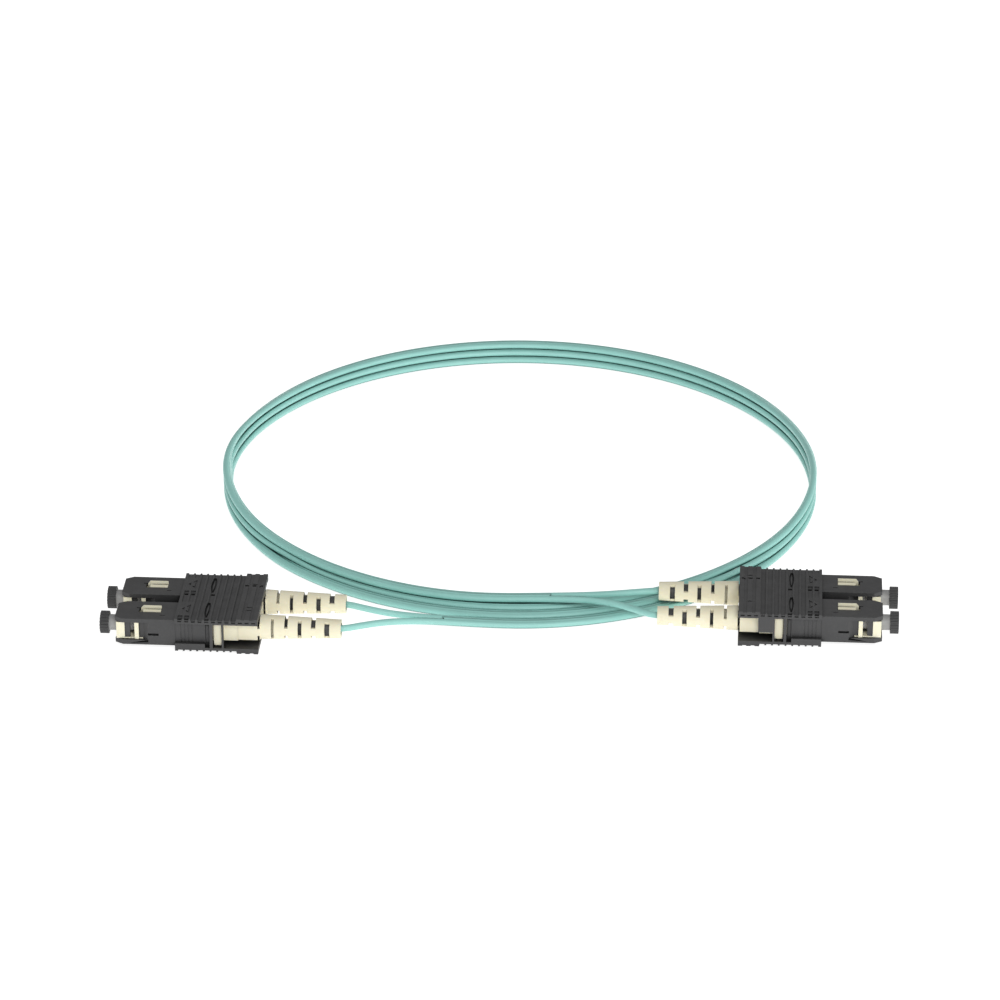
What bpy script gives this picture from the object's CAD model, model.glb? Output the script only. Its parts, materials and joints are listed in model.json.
import json
import math

import bpy
import numpy as np
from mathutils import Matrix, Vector


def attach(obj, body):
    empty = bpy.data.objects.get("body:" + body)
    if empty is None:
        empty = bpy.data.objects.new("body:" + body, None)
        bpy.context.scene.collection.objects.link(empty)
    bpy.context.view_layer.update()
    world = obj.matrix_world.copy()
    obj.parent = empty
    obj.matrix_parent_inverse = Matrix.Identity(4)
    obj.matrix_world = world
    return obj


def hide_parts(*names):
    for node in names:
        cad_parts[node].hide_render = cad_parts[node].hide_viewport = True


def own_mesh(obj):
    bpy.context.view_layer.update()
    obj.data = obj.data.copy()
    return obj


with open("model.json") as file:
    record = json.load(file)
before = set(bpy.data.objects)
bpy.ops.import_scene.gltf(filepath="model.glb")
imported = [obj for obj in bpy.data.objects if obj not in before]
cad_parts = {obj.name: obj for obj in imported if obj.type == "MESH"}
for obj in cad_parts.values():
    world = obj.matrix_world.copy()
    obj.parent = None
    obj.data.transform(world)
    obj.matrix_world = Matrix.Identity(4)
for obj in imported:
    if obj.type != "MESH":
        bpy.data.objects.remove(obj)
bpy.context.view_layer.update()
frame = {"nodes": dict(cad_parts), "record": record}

MM = 0.001
SIDES = ("left", "right")
LANES = ("a", "b")

# ---- sizes shared with the CAD, in millimetres ----
AXIS_Z = 4.6
END_X = 76.4
END_Y = 5.8
LANE_Y = 6.35
STRAND = 1.6              # one strand's diameter
STRAND_END = 54.9         # how far from the middle each strand ends, inside its stop body
WEB = 1.55                # the web's height: nearly the strand's, so the pair looks like one band
WEB_EDGE = 0.125          # where the web leaves each strand, as a share of their spacing


# ---- camera ----

def camera():
    """A long lens, low over the connectors and a little to their right."""
    azimuth, elevation = math.radians(3.63), math.radians(26.42)
    target = Vector((-4.1, 59.0, AXIS_Z)) * MM
    distance = 1.1241
    away = Vector((math.sin(azimuth) * math.cos(elevation),
                   -math.cos(azimuth) * math.cos(elevation), math.sin(elevation)))
    data = bpy.data.cameras.new("camera")
    data.sensor_width = 36.0
    data.lens = 36.0 * 4.4649
    data.clip_end = 50.0
    cam = bpy.data.objects.new("camera", data)
    cam.location = target + away * distance
    cam.rotation_euler = (-away).to_track_quat("-Z", "Y").to_euler()
    bpy.context.scene.collection.objects.link(cam)
    bpy.context.scene.camera = cam


camera()


# ---- the cord ----

# the two strands run side by side from boot to boot: these are the middle of the pair
LEFT_LEAD = [(-26.5, -3.15, 3.2), (-23, -1.8, 2.5), (-20, -0.3, 1.7), (-16.5, 0.7, 1.1),
             (-13, 0.8, 0.85), (-9, 0.2, 0.8)]
RIGHT_LEAD = [(9, 11, 2.5), (13.5, 11.1, 2.6), (18, 10.9, 2.85), (21, 10.6, 3.1), (24, 10.2, 3.4)]
# each strand on its own, between the boot and the pair
LEFT_REAR_LEG = [(-37.4, 0.55, 4.6), (-35.5, 0.2, 4.55), (-33.5, -0.8, 4.4), (-31.5, -1.8, 4.15),
                 (-29.5, -2.5, 3.8), (-27.5, -2.6, 3.4), (-26.5, -2.35, 3.2)]
LEFT_FRONT_LEG = [(-37.4, -12.15, 4.6), (-35.5, -11.55, 4.55), (-33.5, -10.1, 4.4),
                  (-31.5, -8.2, 4.15), (-29.5, -6.1, 3.8), (-27.5, -4.5, 3.4), (-26.5, -3.95, 3.2)]
RIGHT_REAR_LEG = [(37.4, 12.15, 4.6), (35, 12.1, 4.55), (32.5, 11.9, 4.4), (30, 11.6, 4.15),
                  (27, 11.3, 3.75), (24, 11, 3.4)]
RIGHT_FRONT_LEG = [(37.4, -0.55, 4.6), (36, -0.45, 4.6), (34.5, 0.3, 4.55), (32.5, 2.2, 4.4),
                   (30.5, 4.6, 4.15), (28.5, 7, 3.85), (26.5, 8.7, 3.6), (24, 9.4, 3.4)]

TURNS = 3
COIL_RX = 75.0
COIL_RY = 75.8
COIL_Y = 67.7
RISE_PER_TURN = 4.4      # how far back each turn lies from the last, as seen along the floor
LEAN = 2.0               # how far a turn steps back for each millimetre that it lies lower
STEP = 1.5               # spacing of the points along the cord
LAYER = 1.66             # height of one turn lying on another
EDGE_PILE = 1.6          # how much higher a turn on its edge piles
EDGE_SPAN = 18           # angle over which it does so, in degrees
SPREAD_OUT = (36, 66)    # angles between which the turns leave the floor
SPREAD_IN = (292, 328)   # angles between which they come back to it
JOIN = 2                 # points left out where a turn meets a lead

# ---- how the strands settle on each other ----
ROUNDS = 240
ROOM = 0.02              # gap left between two strands
CELL = 3.0               # size of the cells that near points are looked up in
OWN_REACH = 12           # points of the same strand nearer than this don't push each other
HELD = 14                # points at each end that stay where they are
PULL_HOME = 0.004        # share of the way back to its first place that a point goes each round

# ---- the web between the strands ----
WEB_SEARCH = 25          # points of the front strand looked at on each side of a rear point
WEB_STRETCH = 0.35       # extra spacing at which the web stops


def smooth(a, b, x):
    t = min(1.0, max(0.0, (x - a) / (b - a)))
    return t * t * (3 - 2 * t)


def coil_point(turn, angle):
    """Middle of the pair and the way from the front strand to the rear one.

    angle runs from 0 at the front, anticlockwise, to 360. The pair lies flat at the front and
    back and stands on edge at the sides, where the turns pile up on each other. At the front
    the turns lie beside each other on the floor."""
    along = math.radians(angle - 90)
    s = math.sin(along)
    roll = -90 * (1 - math.copysign(1, s) * abs(s) * (2 - abs(s)))
    roll_r = math.radians(roll)
    on_edge = abs(math.sin(roll_r))
    from_side = math.degrees(math.asin(abs(math.cos(along + math.pi / 2))))
    pile = LAYER + EDGE_PILE * math.exp(-(from_side / EDGE_SPAN) ** 2)
    spread_start = 1 - smooth(*SPREAD_OUT, angle)
    spread_end = smooth(*SPREAD_IN, angle)
    level = turn * pile * (1 - spread_start) * (1 - spread_end)
    if turn == TURNS - 1:
        level += LAYER * spread_end
    z = STRAND / 2 * (1 + on_edge) + level
    phase = turn + angle / 360
    centre_y = COIL_Y + RISE_PER_TURN * phase + LEAN * (AXIS_Z - z)
    outward = np.array([math.cos(along), s, 0.0])
    middle = np.array([COIL_RX * outward[0], centre_y + COIL_RY * outward[1], z])
    across = outward * math.cos(roll_r) + np.array([0, 0, math.sin(roll_r)])
    return middle, across


def pair_route():
    """The middle and the across direction of the pair from the left lead to the right one."""
    middles, acrosses = [], []
    for p in LEFT_LEAD:
        middles.append(np.array(p, float))
        acrosses.append(np.array([0.0, 1.0, 0.0]))
    per_turn = int(2 * math.pi * COIL_RX / STEP)
    for turn in range(TURNS):
        first = JOIN if turn == 0 else 0
        last = per_turn - JOIN if turn == TURNS - 1 else per_turn
        for i in range(first, last):
            m, a = coil_point(turn, 360 * i / per_turn)
            middles.append(m)
            acrosses.append(a)
    for p in RIGHT_LEAD:
        middles.append(np.array(p, float))
        acrosses.append(np.array([0.0, 1.0, 0.0]))
    return np.array(middles), np.array(acrosses)


def resample(points, step):
    seg = np.linalg.norm(np.diff(points, axis=0), axis=1)
    run = np.concatenate([[0], np.cumsum(seg)])
    n = int(run[-1] / step)
    want = np.linspace(0, run[-1], n + 1)
    return np.column_stack([np.interp(want, run, points[:, k]) for k in range(3)])


def smoothed(points, rounds):
    for _ in range(rounds):
        points[1:-1] = points[1:-1] * 0.5 + (points[:-2] + points[2:]) * 0.25
    return points


def strand_points(sign):
    middles, acrosses = pair_route()
    body = middles + acrosses * sign * STRAND / 2
    left = LEFT_REAR_LEG if sign > 0 else LEFT_FRONT_LEG
    right = RIGHT_REAR_LEG if sign > 0 else RIGHT_FRONT_LEG
    body = body[1:-1]
    points = np.array(list(left) + list(map(tuple, body)) + list(reversed(right)), float)
    inside_left = np.array([[-STRAND_END, left[0][1], AXIS_Z]])
    inside_right = np.array([[STRAND_END, right[0][1], AXIS_Z]])
    points = np.concatenate([inside_left, points, inside_right])
    return smoothed(resample(points, STEP), 3)


def settle(strands):
    """Pushes the strands out of each other and up off the floor, keeping them smooth."""
    pts = np.concatenate(strands)
    n0 = len(strands[0])
    owner = np.concatenate([np.zeros(n0, int), np.ones(len(strands[1]), int)])
    order = np.concatenate([np.arange(n0), np.arange(len(strands[1]))])
    home = pts.copy()
    ends = np.zeros(len(pts), bool)
    for first, count in ((0, n0), (n0, len(strands[1]))):
        ends[first:first + HELD] = True
        ends[first + count - HELD:first + count] = True
    for _ in range(ROUNDS):
        push = np.zeros_like(pts)
        hits = np.zeros(len(pts))
        cell = np.floor(pts / CELL).astype(int)
        key = {}
        for i, c in enumerate(map(tuple, cell)):
            key.setdefault(c, []).append(i)
        pairs_i, pairs_j = [], []
        for c, members in key.items():
            near = []
            for dx in (-1, 0, 1):
                for dy in (-1, 0, 1):
                    for dz in (-1, 0, 1):
                        near += key.get((c[0] + dx, c[1] + dy, c[2] + dz), [])
            near = np.array(near)
            for i in members:
                pairs_j.append(near[near > i])
                pairs_i.append(np.full(len(pairs_j[-1]), i))
        pi, pj = np.concatenate(pairs_i), np.concatenate(pairs_j)
        keep = (owner[pi] != owner[pj]) | (np.abs(order[pi] - order[pj]) > OWN_REACH)
        pi, pj = pi[keep], pj[keep]
        d = pts[pj] - pts[pi]
        tangent = np.gradient(pts, axis=0)
        tangent /= np.linalg.norm(tangent, axis=1, keepdims=True)
        d -= tangent[pi] * np.sum(d * tangent[pi], axis=1, keepdims=True)
        gap = np.linalg.norm(d, axis=1)
        close = (gap < STRAND + ROOM) & (gap > 1e-6)
        along = np.abs(np.sum((pts[pj] - pts[pi]) * tangent[pi], axis=1)) < STEP * 0.75
        close &= along
        pi, pj, d, gap = pi[close], pj[close], d[close], gap[close]
        move = d / gap[:, None] * ((STRAND + ROOM - gap) / 2)[:, None]
        np.add.at(push, pi, -move)
        np.add.at(push, pj, move)
        np.add.at(hits, pi, 1)
        np.add.at(hits, pj, 1)
        push[ends] = 0
        pts += push / np.maximum(hits, 1)[:, None]
        even = pts.copy()
        even[1:-1] = pts[1:-1] * 0.8 + (pts[:-2] + pts[2:]) * 0.1
        even[n0 - 1] = pts[n0 - 1]
        even[n0] = pts[n0]
        even[ends] = pts[ends]
        pts = even
        pts += (home - pts) * PULL_HOME
        pts[:, 2] = np.maximum(pts[:, 2], STRAND / 2)
    return pts[:n0], pts[n0:]


def tube_piece(name, points, radius, sides=14):
    """A closed round tube along the points, without twist."""
    along = np.gradient(points, axis=0)
    along /= np.linalg.norm(along, axis=1, keepdims=True)
    side = np.cross(along[0], (0.0, 0.0, 1.0))
    verts, faces = [], []
    for i, (point, ahead) in enumerate(zip(points, along)):
        side = side - ahead * np.dot(side, ahead)
        side /= np.linalg.norm(side)
        up = np.cross(ahead, side)
        for k in range(sides):
            turn = 2 * math.pi * k / sides
            spoke = side * math.cos(turn) + up * math.sin(turn)
            verts.append(tuple((point + radius * spoke) * MM))
        if i:
            for k in range(sides):
                n = (k + 1) % sides
                faces.append(((i - 1) * sides + k, (i - 1) * sides + n,
                              i * sides + n, i * sides + k))
    last = len(verts) - sides
    faces.append(tuple(range(sides))[::-1])
    faces.append(tuple(range(last, last + sides)))
    mesh = bpy.data.meshes.new(name)
    mesh.from_pydata(verts, [], faces)
    mesh.update()
    for face in mesh.polygons:
        face.use_smooth = len(face.vertices) == 4
    obj = bpy.data.objects.new(name, mesh)
    bpy.context.scene.collection.objects.link(obj)
    return obj


def web_piece(name, rear, front):
    """The thin strip of jacket that joins the two strands wherever they run side by side."""
    step = np.linalg.norm(rear[:, None, :] - front[None, :, :], axis=2)
    verts, faces = [], []
    previous = None
    for i in range(2, len(rear) - 2):
        lo, hi = max(0, i - WEB_SEARCH), min(len(front), i + WEB_SEARCH + 1)
        j = lo + int(np.argmin(step[i, lo:hi]))
        across = front[j] - rear[i]
        if not 1 < j < len(front) - 2 or np.linalg.norm(across) > STRAND + WEB_STRETCH:
            previous = None
            continue
        along = rear[i + 1] - rear[i - 1]
        up = np.cross(across, along)
        up *= WEB / 2 / np.linalg.norm(up)
        near = rear[i] + across * WEB_EDGE
        far = rear[i] + across * (1 - WEB_EDGE)
        first = len(verts)
        verts += [tuple(v * MM) for v in (near + up, far + up, far - up, near - up)]
        if previous is not None:
            for k in range(4):
                n = (k + 1) % 4
                faces.append((previous + k, previous + n, first + n, first + k))
        else:
            faces.append((first, first + 1, first + 2, first + 3))
        previous = first
    mesh = bpy.data.meshes.new(name)
    mesh.from_pydata(verts, [], faces)
    mesh.update()
    for face in mesh.polygons:
        face.use_smooth = True
    obj = bpy.data.objects.new(name, mesh)
    bpy.context.scene.collection.objects.link(obj)
    return obj


rear_points, front_points = settle([strand_points(1), strand_points(-1)])
rear_strand = tube_piece("rear_strand", rear_points, STRAND / 2)
front_strand = tube_piece("front_strand", front_points, STRAND / 2)
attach(rear_strand, "cord")
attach(front_strand, "cord")
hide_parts("coil", "left_lead", "right_lead", "left_a_leg", "right_b_leg")
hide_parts("left_b_leg", "right_a_leg")
web = web_piece("strand_web", rear_points, front_points)
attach(web, "cord")


# ---- the ferrules' springs ----

# the same spring as in the CAD, drawn here because it shortens when its ferrule is pushed in
SPRING_X = (-9.3, -1.5)  # its rear and front ends, from the clip's first rib
SPRING_TURNS = 5
SPRING_STEPS = 24        # points round one turn
SPRING_R = 1.75
WIRE_R = 0.3


def spring_piece(side, lane):
    """A helical spring behind one ferrule that squeezes towards its rear end."""
    ahead = 1 if side == "right" else -1
    lane_y = END_Y + (LANE_Y if lane == "b" else -LANE_Y)
    rear, front = SPRING_X[0] + WIRE_R, SPRING_X[1] - WIRE_R
    points = []
    for i in range(SPRING_STEPS * SPRING_TURNS + 1):
        turn = 2 * math.pi * i / SPRING_STEPS
        x = rear + (front - rear) * i / (SPRING_STEPS * SPRING_TURNS)
        points.append((ahead * (END_X + x), ahead * (lane_y + SPRING_R * math.cos(turn)),
                       AXIS_Z + SPRING_R * math.sin(turn)))
    piece = tube_piece(f"{side}_{lane}_coil_spring", np.array(points), WIRE_R, sides=10)
    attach(piece, "cord")
    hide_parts(f"{side}_{lane}_spring")
    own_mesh(piece)
    return piece


springs = [spring_piece(side, lane) for side in SIDES for lane in LANES]


# ---- materials ----

def noise(tree, vector, scale, detail=4.0, roughness=0.5):
    node = tree.nodes.new("ShaderNodeTexNoise")
    node.inputs["Scale"].default_value = scale
    node.inputs["Detail"].default_value = detail
    node.inputs["Roughness"].default_value = roughness
    tree.links.new(vector, node.inputs["Vector"])
    return node.outputs["Fac"]


def remap(tree, value, low, high, to_low, to_high):
    node = tree.nodes.new("ShaderNodeMapRange")
    node.inputs["From Min"].default_value = low
    node.inputs["From Max"].default_value = high
    node.inputs["To Min"].default_value = to_low
    node.inputs["To Max"].default_value = to_high
    tree.links.new(value, node.inputs["Value"])
    return node.outputs["Result"]


def mix(tree, factor, first, second):
    """Blends two colours; each is a fixed colour or a socket."""
    node = tree.nodes.new("ShaderNodeMix")
    node.data_type = "RGBA"
    tree.links.new(factor, node.inputs["Factor"])
    for socket, color in ((node.inputs["A"], first), (node.inputs["B"], second)):
        if isinstance(color, tuple):
            socket.default_value = (*color, 1)
        else:
            tree.links.new(color, socket)
    return node.outputs["Result"]


def edge_mask(tree, rounded):
    """How far the rounded normal leans off the flat one: 0 on a flat, 1 on a sharp edge."""
    geometry = tree.nodes.new("ShaderNodeNewGeometry")
    dot = tree.nodes.new("ShaderNodeVectorMath")
    dot.operation = "DOT_PRODUCT"
    tree.links.new(rounded, dot.inputs[0])
    tree.links.new(geometry.outputs["Normal"], dot.inputs[1])
    return remap(tree, dot.outputs["Value"], 0.995, 0.9, 0.0, 1.0)


OPEN, CLOSED = 0.62, 0.2  # shares of open sky between which a surface turns into a crevice
CREVICE_SHINE = 0.1       # share of its specular reflection that a crevice keeps


def crevice_mask(tree, reach):
    """How closed in the surface is by what stands within reach, from 0 in the open to 1."""
    node = tree.nodes.new("ShaderNodeAmbientOcclusion")
    node.samples = 8
    node.inputs["Distance"].default_value = reach * MM
    return remap(tree, node.outputs["AO"], OPEN, CLOSED, 0.0, 1.0)


def material(name, color, dark, light, roughness, grain, relief, edge=0.0, edge_color=None,
             edge_radius=0.09, crevice=0.0, crevice_color=(0.02, 0.02, 0.018), crevice_reach=1.2,
             metallic=0.0, specular=0.5, subsurface=0.0):
    """A moulded or drawn surface.

    color drifts towards dark in soft patches and towards light in fine specks. grain is the
    scale of the surface texture and relief its strength; edges are rounded over edge_radius
    millimetres and rubbed towards edge_color. What is closed in by surfaces within
    crevice_reach millimetres goes towards crevice_color and shines less."""
    mat = bpy.data.materials.new(name)
    mat.use_nodes = True
    tree = mat.node_tree
    shader = tree.nodes["Principled BSDF"]
    shader.inputs["Metallic"].default_value = metallic
    shader.inputs["Specular IOR Level"].default_value = specular
    if subsurface:
        shader.inputs["Subsurface Weight"].default_value = subsurface
        shader.inputs["Subsurface Radius"].default_value = (0.0009, 0.0007, 0.0004)
        shader.inputs["Subsurface Scale"].default_value = 1.0
    place = tree.nodes.new("ShaderNodeTexCoord").outputs["Object"]
    patches = noise(tree, place, 160.0, detail=3.0)
    specks = noise(tree, place, grain * 0.4, detail=2.0, roughness=0.7)
    base = mix(tree, remap(tree, patches, 0.4, 0.75, 0.0, 1.0), color, dark)
    base = mix(tree, remap(tree, specks, 0.58, 0.8, 0.0, 1.0), base, light)
    bevel = tree.nodes.new("ShaderNodeBevel")
    bevel.samples = 4
    bevel.inputs["Radius"].default_value = edge_radius * MM
    if edge:
        worn = remap(tree, edge_mask(tree, bevel.outputs["Normal"]), 0.0, 1.0, 0.0, edge)
        base = mix(tree, worn, base, edge_color)
    if crevice:
        closed = remap(tree, crevice_mask(tree, crevice_reach), 0.0, 1.0, 0.0, crevice)
        base = mix(tree, closed, base, crevice_color)
        tree.links.new(remap(tree, closed, 0.0, 1.0, specular, specular * CREVICE_SHINE),
                       shader.inputs["Specular IOR Level"])
    tree.links.new(base, shader.inputs["Base Color"])
    gloss = remap(tree, noise(tree, place, 420.0, detail=5.0), 0.3, 0.7,
                  max(0.04, roughness - 0.07), min(1.0, roughness + 0.07))
    tree.links.new(gloss, shader.inputs["Roughness"])
    bump = tree.nodes.new("ShaderNodeBump")
    bump.inputs["Strength"].default_value = relief
    bump.inputs["Distance"].default_value = 0.00005
    tree.links.new(noise(tree, place, grain, detail=3.0, roughness=0.6), bump.inputs["Height"])
    tree.links.new(bevel.outputs["Normal"], bump.inputs["Normal"])
    tree.links.new(bump.outputs["Normal"], shader.inputs["Normal"])
    return mat


MATERIALS = {
    "cord_jacket": material(
        "cord_jacket", color=(0.32, 0.645, 0.59), dark=(0.30, 0.615, 0.56),
        light=(0.35, 0.675, 0.62), roughness=0.42, grain=2600.0, relief=0.12, edge_radius=0.02,
        crevice=1.0, crevice_color=(0.045, 0.13, 0.115), crevice_reach=2.4),
    "black_plastic": material(
        "black_plastic", color=(0.052, 0.052, 0.053), dark=(0.045, 0.045, 0.046),
        light=(0.07, 0.07, 0.07), roughness=0.48, grain=7000.0, relief=0.35,
        edge=0.5, edge_color=(0.15, 0.15, 0.15), specular=0.45, crevice=0.9,
        crevice_color=(0.008, 0.008, 0.008), crevice_reach=9.0),
    "ivory_plastic": material(
        "ivory_plastic", color=(0.86, 0.82, 0.63), dark=(0.84, 0.79, 0.59),
        light=(0.88, 0.85, 0.67), roughness=0.38, grain=5000.0, relief=0.12,
        edge=0.4, edge_color=(0.92, 0.89, 0.74), subsurface=0.12, crevice=0.97),
    "boot_rubber": material(
        "boot_rubber", color=(0.85, 0.80, 0.61), dark=(0.82, 0.76, 0.56),
        light=(0.87, 0.83, 0.66), roughness=0.55, grain=4200.0, relief=0.2,
        edge=0.3, edge_color=(0.9, 0.87, 0.72), edge_radius=0.12, subsurface=0.12, specular=0.35,
        crevice=0.9, crevice_color=(0.06, 0.055, 0.035)),
    "ferrule_ceramic": material(
        "ferrule_ceramic", color=(0.86, 0.86, 0.84), dark=(0.84, 0.84, 0.82),
        light=(0.88, 0.88, 0.86), roughness=0.13, grain=3000.0, relief=0.01, edge_radius=0.05),
    "nickel": material(
        "nickel", color=(0.6, 0.58, 0.52), dark=(0.54, 0.52, 0.46), light=(0.66, 0.64, 0.58),
        roughness=0.28, grain=5000.0, relief=0.08, metallic=1.0),
    "spring_steel": material(
        "spring_steel", color=(0.5, 0.5, 0.52), dark=(0.42, 0.42, 0.44), light=(0.58, 0.58, 0.6),
        roughness=0.3, grain=6000.0, relief=0.1, metallic=1.0, edge_radius=0.02),
    "cap_grey": material(
        "cap_grey", color=(0.34, 0.34, 0.34), dark=(0.31, 0.31, 0.31), light=(0.38, 0.38, 0.38),
        roughness=0.45, grain=4000.0, relief=0.15, edge_radius=0.05, crevice=0.95),
    "cap_black": material(
        "cap_black", color=(0.056, 0.056, 0.057), dark=(0.048, 0.048, 0.049),
        light=(0.075, 0.075, 0.075), roughness=0.52, grain=5000.0, relief=0.3,
        edge=0.4, edge_color=(0.14, 0.14, 0.14), edge_radius=0.06, specular=0.4, crevice=0.9,
        crevice_color=(0.01, 0.01, 0.01), crevice_reach=0.6),
}


def dress_nodes():
    slots = {s["node"]: s["material_slot"] for s in frame["record"]["subparts"]}
    for name, obj in frame["nodes"].items():
        mat = MATERIALS[slots[name]]
        if not obj.material_slots:
            obj.data.materials.append(mat)
        for s in obj.material_slots:
            s.material = mat


dress_nodes()
for piece in (rear_strand, front_strand, web):
    piece.data.materials.append(MATERIALS["cord_jacket"])
for piece in springs:
    piece.data.materials.append(MATERIALS["spring_steel"])


# ---- room ----

def floor():
    mesh = bpy.data.meshes.new("floor")
    r = 6.0
    mesh.from_pydata([(-r, -r, 0), (r, -r, 0), (r, r, 0), (-r, r, 0)], [], [(0, 1, 2, 3)])
    obj = bpy.data.objects.new("floor", mesh)
    obj.location.z = -0.0001
    bpy.context.scene.collection.objects.link(obj)
    mat = bpy.data.materials.new("floor")
    mat.use_nodes = True
    shader = mat.node_tree.nodes["Principled BSDF"]
    shader.inputs["Base Color"].default_value = (0.55, 0.55, 0.55, 1)
    shader.inputs["Roughness"].default_value = 0.9
    shader.inputs["Emission Color"].default_value = (1, 1, 1, 1)
    shader.inputs["Emission Strength"].default_value = 0.85
    mesh.materials.append(mat)


def area_light(name, place, aim, size, power):
    data = bpy.data.lights.new(name, "AREA")
    data.shape = "DISK"
    data.size = size
    data.energy = power
    obj = bpy.data.objects.new(name, data)
    obj.location = place
    obj.rotation_euler = (Vector(aim) - Vector(place)).to_track_quat("-Z", "Y").to_euler()
    bpy.context.scene.collection.objects.link(obj)


def room():
    floor()
    world = bpy.data.worlds.new("room")
    bpy.context.scene.world = world
    world.use_nodes = True
    background = world.node_tree.nodes["Background"]
    background.inputs["Color"].default_value = (1, 1, 1, 1)
    background.inputs["Strength"].default_value = 0.42
    area_light("front", (0.35, -1.5, 1.0), (0, 0.03, 0), 0.9, 13)
    area_light("right", (1.5, -0.5, 0.35), (0.05, 0.03, 0), 0.6, 5)


room()
bpy.context.scene.view_settings.view_transform = "Standard"

bpy.context.view_layer.update()
